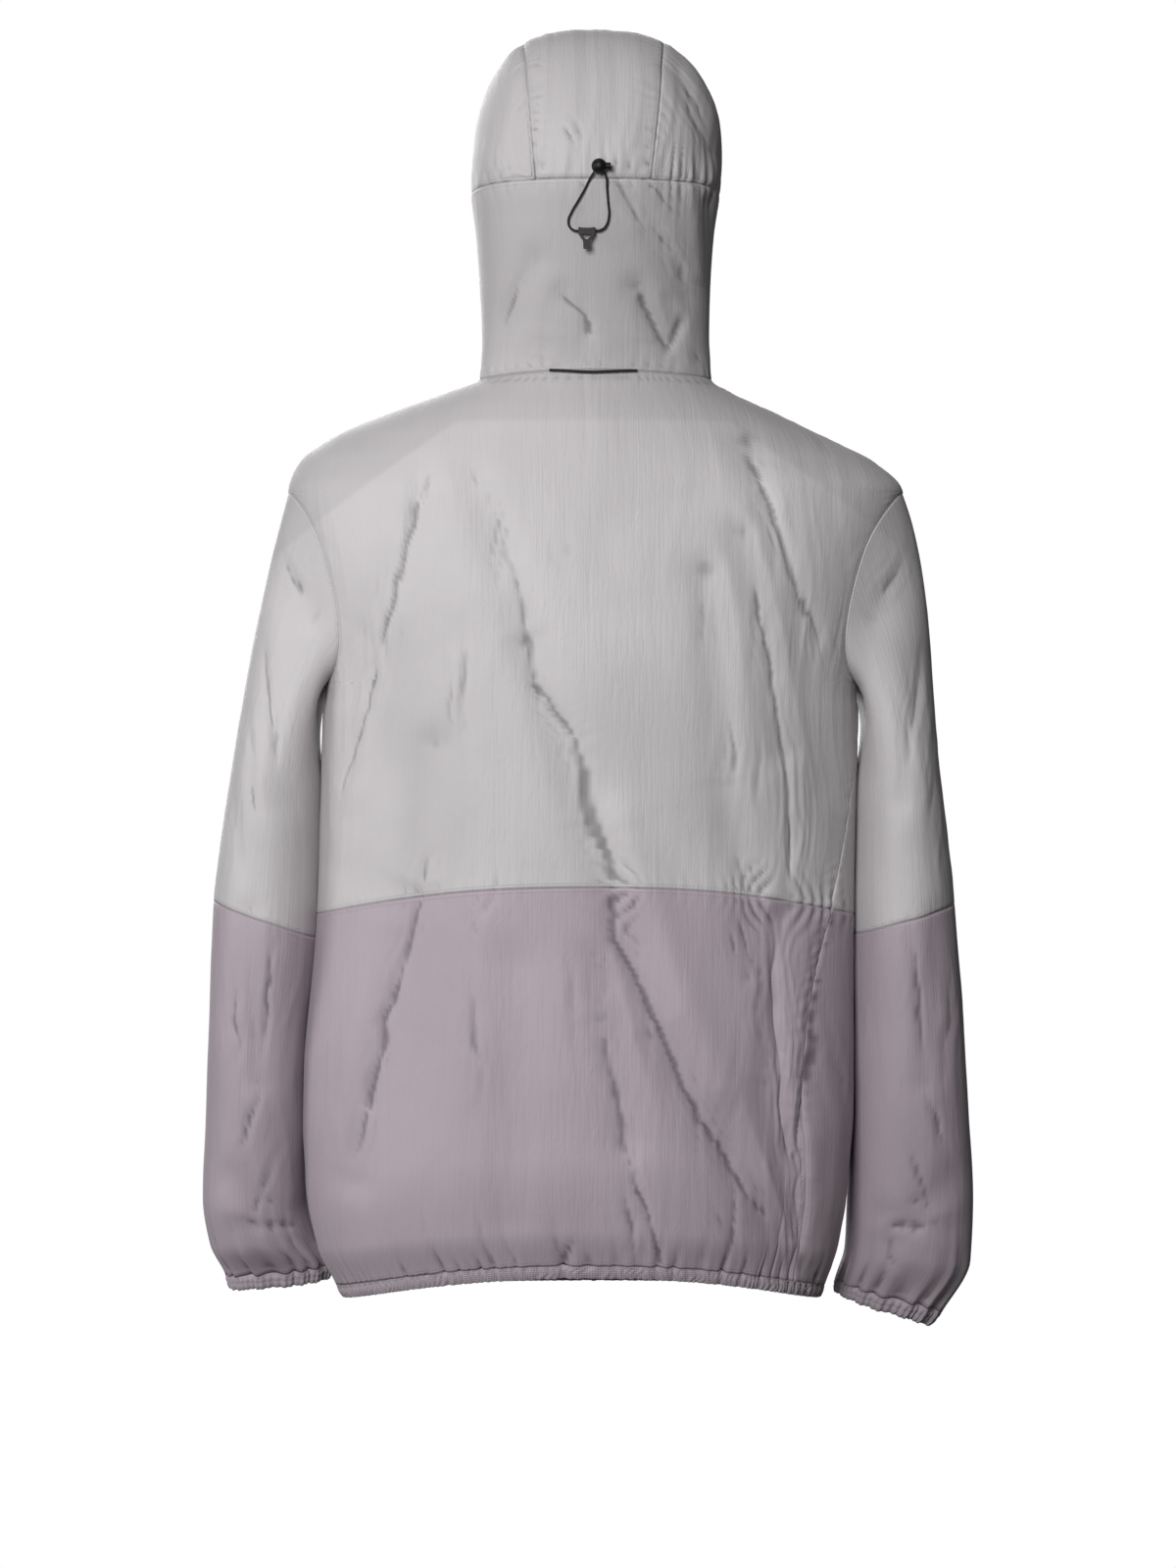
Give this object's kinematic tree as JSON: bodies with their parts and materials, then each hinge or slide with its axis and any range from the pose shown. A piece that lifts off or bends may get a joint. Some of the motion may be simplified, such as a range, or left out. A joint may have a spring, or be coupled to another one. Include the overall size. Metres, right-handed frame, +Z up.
{
  "type": "windbreaker jacket",
  "caption": "Hooded windbreaker jacket in its worn shape, hood up and front zip closed, with gathered hem and cuffs and a drawcord at the back of the hood.",
  "frame": {"origin": "middle of the neckline at the height of the back neck seam, where the jacket hangs on the wearer's shoulders", "axes": "+Z up, the back faces +Y and the front -Y, the wearer's left is at +X"},
  "size_m": [0.6171, 0.256, 1.0333],
  "materials": {
    "upper_cloth": "light grey crinkled nylon",
    "lower_cloth": "mauve crinkled nylon",
    "elastic_band": "mauve nylon folded over elastic",
    "grey_tape": "woven grey tape and binding",
    "black_plastic": "moulded black plastic",
    "black_cord": "thin black braided cord"
  },
  "bodies": {
    "jacket": {"back_upper": "upper_cloth", "front_upper_left": "upper_cloth", "front_upper_right": "upper_cloth", "sleeve_upper_left": "upper_cloth", "sleeve_upper_right": "upper_cloth", "hood_lower": "upper_cloth", "hood_middle": "upper_cloth", "hood_side_left": "upper_cloth", "hood_side_right": "upper_cloth", "back_lower": "lower_cloth", "front_lower_left": "lower_cloth", "front_lower_right": "lower_cloth", "sleeve_lower_left": "lower_cloth", "sleeve_lower_right": "lower_cloth", "hem_band": "elastic_band", "cuff_left": "elastic_band", "cuff_right": "elastic_band", "hood_binding": "grey_tape", "zip_tape_left": "grey_tape", "zip_tape_right": "grey_tape", "zip_slider": "black_plastic", "zip_box": "black_plastic", "cord_lock": "black_plastic", "cord_end": "black_plastic", "hood_cord": "black_cord", "hanger_loop": "black_cord"},
    "zip_pull": {"zip_pull": "black_plastic"},
    "lock_plunger": {"lock_plunger": "black_plastic"}
  },
  "joints": [
    {"name": "zip_pull_hinge", "type": "hinge", "parent": "jacket", "child": "zip_pull", "pos_m": [0, -0.0907, 0.0038], "axis": [-1, 0, 0], "range_deg": [0, 150]},
    {"name": "lock_plunger_slide", "type": "slide", "parent": "jacket", "child": "lock_plunger", "axis": [1, 0, 0], "range_m": [0, 0.002], "stiffness_N_per_m": 300}
  ]
}
